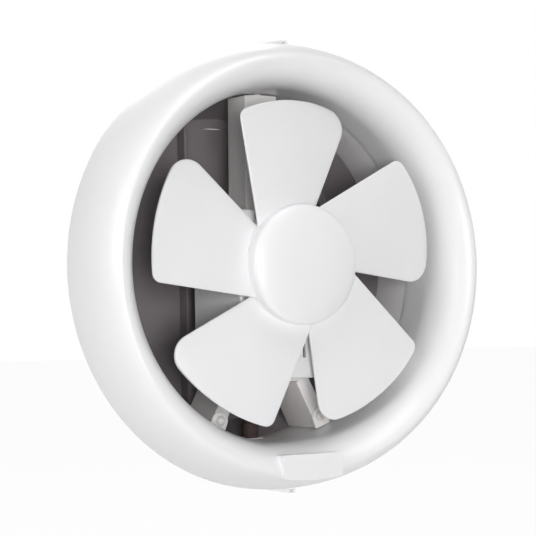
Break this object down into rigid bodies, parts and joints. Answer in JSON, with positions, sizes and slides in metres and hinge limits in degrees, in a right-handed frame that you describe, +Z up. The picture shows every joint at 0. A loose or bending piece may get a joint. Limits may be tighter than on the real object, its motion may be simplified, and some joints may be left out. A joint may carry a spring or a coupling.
{
  "type": "window exhaust fan",
  "caption": "Round window exhaust fan: white rolled bezel, wide-bladed impeller, boxed motor on a bracket in the duct and a sprung butterfly shutter outdoors; clamps through a hole in glass.",
  "frame": {"origin": "on the fan's axis, at the indoor face of the window pane that the fan is clamped to", "axes": "+Y along the fan's axis towards outdoors, +Z up, +X to the right as seen from the room"},
  "size_m": [0.275, 0.1272, 0.2794],
  "materials": {
    "white_plastic": "satin white moulding with a soft gloss",
    "blade_plastic": "satin off-white moulding",
    "frame_plastic": "matte white moulding",
    "bracket_paint": "off-white paint on pressed steel",
    "dark_plastic": "matte brown-grey moulding, finely grained",
    "flap_plastic": "matte brown-grey moulding",
    "gland_rubber": "matte dark brown rubber",
    "gasket_rubber": "matte black foam rubber",
    "zinc_steel": "bright zinc plate",
    "laminations": "stacked sheet steel",
    "copper_wire": "enamelled copper",
    "bronze": "sintered bronze",
    "nylon": "natural nylon"
  },
  "bodies": {
    "housing": {"bezel_ring": "white_plastic", "badge_plate": "white_plastic", "bezel_catch_top": "white_plastic", "bezel_catch_bottom": "white_plastic", "motor_cover": "white_plastic", "mount_frame": "frame_plastic", "motor_bracket": "bracket_paint", "leg_screw_top": "bracket_paint", "leg_screw_left": "bracket_paint", "leg_screw_right": "bracket_paint", "outdoor_body": "dark_plastic", "cord_gland": "gland_rubber", "indoor_gasket": "gasket_rubber", "outdoor_gasket": "gasket_rubber", "clamp_screw_1": "zinc_steel", "clamp_screw_2": "zinc_steel", "clamp_screw_3": "zinc_steel", "clamp_screw_4": "zinc_steel", "clamp_nut_1": "zinc_steel", "clamp_nut_2": "zinc_steel", "clamp_nut_3": "zinc_steel", "clamp_nut_4": "zinc_steel", "bearing_strap_front": "zinc_steel", "bearing_strap_rear": "zinc_steel", "motor_bolt_left": "zinc_steel", "motor_bolt_right": "zinc_steel", "hinge_pin_left": "zinc_steel", "hinge_pin_right": "zinc_steel", "flap_spring_left": "zinc_steel", "flap_spring_right": "zinc_steel", "stator_core": "laminations", "coil_winding": "copper_wire", "bearing_front": "bronze", "bearing_rear": "bronze", "coil_bobbin": "nylon", "thermal_fuse": "nylon", "terminal_block": "nylon"},
    "impeller_set": {"impeller": "blade_plastic", "spinner_cap": "white_plastic", "motor_shaft": "zinc_steel", "cross_pin": "zinc_steel", "rotor": "laminations", "thrust_washer_front": "nylon", "thrust_washer_rear": "nylon", "impeller_nut": "zinc_steel"},
    "flap_left": {"flap_left": "flap_plastic"},
    "flap_right": {"flap_right": "flap_plastic"}
  },
  "joints": [
    {"name": "impeller_spin", "type": "hinge", "parent": "housing", "child": "impeller_set", "pos_m": [0, -0.0385, 0], "axis": [0, -1, 0], "continuous": true},
    {"name": "flap_left_hinge", "type": "hinge", "parent": "housing", "child": "flap_left", "pos_m": [-0.023, 0.0706, 0], "axis": [0, 0, -1], "range_deg": [0, 75], "stiffness_Nm_per_rad": 0.003, "springref_deg": -17.19, "deforming": ["flap_spring_left"]},
    {"name": "flap_right_hinge", "type": "hinge", "parent": "housing", "child": "flap_right", "pos_m": [0.023, 0.0706, 0], "axis": [0, 0, 1], "range_deg": [0, 75], "stiffness_Nm_per_rad": 0.003, "springref_deg": -17.19, "deforming": ["flap_spring_right"]}
  ]
}
